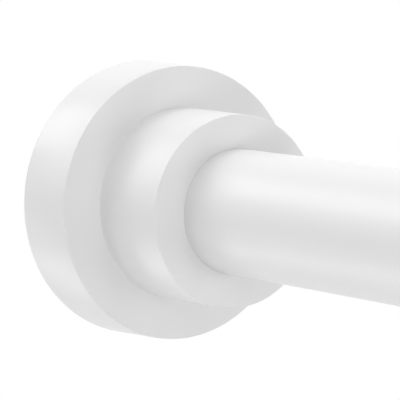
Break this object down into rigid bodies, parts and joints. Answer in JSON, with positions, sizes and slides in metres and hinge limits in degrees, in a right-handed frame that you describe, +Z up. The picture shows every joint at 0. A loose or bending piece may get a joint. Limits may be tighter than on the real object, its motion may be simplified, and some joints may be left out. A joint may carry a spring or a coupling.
{
  "type": "spring tension rod",
  "caption": "Telescoping round tension rod with a padded disc and collar on each end, a twist lock and a spring inside, for hanging a curtain between facing walls.",
  "frame": {"origin": "middle of the wall pad's contact face on the outer tube's end", "axes": "+X along the rod towards the inner tube's end, +Z up as the rod hangs, +Y away from a viewer in front"},
  "size_m": [0.7, 0.057, 0.057],
  "materials": {
    "white_moulding": "satin white",
    "white_tube": "smooth white powder coat",
    "pad_rubber": "matt",
    "inner_moulding": "natural",
    "drag_rubber": "matt",
    "steel": "zinc plated",
    "spring_steel": "drawn wire"
  },
  "bodies": {
    "fixed_end": {"flange_cover_fixed": "white_moulding", "base_plug_fixed": "inner_moulding", "wall_pad_fixed": "pad_rubber", "cover_screws_fixed": "steel", "plug_pin_fixed": "steel", "outer_tube": "white_tube", "guide_ring": "white_moulding"},
    "expander": {"expander_sleeve": "inner_moulding", "drag_ring": "drag_rubber"},
    "cone": {"wedge_cone": "inner_moulding"},
    "spindle": {"lock_spindle": "steel", "spindle_end_nut": "steel", "sleeve_retaining_clip": "spring_steel", "spring_seat": "steel", "tail_nut": "steel"},
    "sliding_end": {"inner_tube": "white_tube", "rod_bush": "inner_moulding", "bush_pins": "steel", "spring_stop": "inner_moulding", "stop_pin": "steel", "compression_spring": "spring_steel", "flange_cover_sliding": "white_moulding", "base_plug_sliding": "inner_moulding", "wall_pad_sliding": "pad_rubber", "cover_screws_sliding": "steel", "plug_pin_sliding": "steel"}
  },
  "joints": [
    {"name": "length_adjust", "type": "slide", "parent": "fixed_end", "child": "expander", "axis": [1, 0, 0], "range_m": [0, 0.45]},
    {"name": "twist_lock", "type": "hinge", "parent": "expander", "child": "spindle", "pos_m": [0.06, 0, 0], "axis": [-1, 0, 0], "range_deg": [0, 360]},
    {"name": "cone_travel", "type": "slide", "parent": "expander", "child": "cone", "axis": [1, 0, 0], "range_m": [0, 0.0015]},
    {"name": "spring_travel", "type": "slide", "parent": "spindle", "child": "sliding_end", "axis": [1, 0, 0], "range_m": [-0.025, 0], "stiffness_N_per_m": 2500, "springref_m": 0.01, "deforming": ["compression_spring"]}
  ],
  "couplings": [
    {"joint": "cone_travel", "follows": "twist_lock", "m_per_rad": 0.0002387}
  ]
}
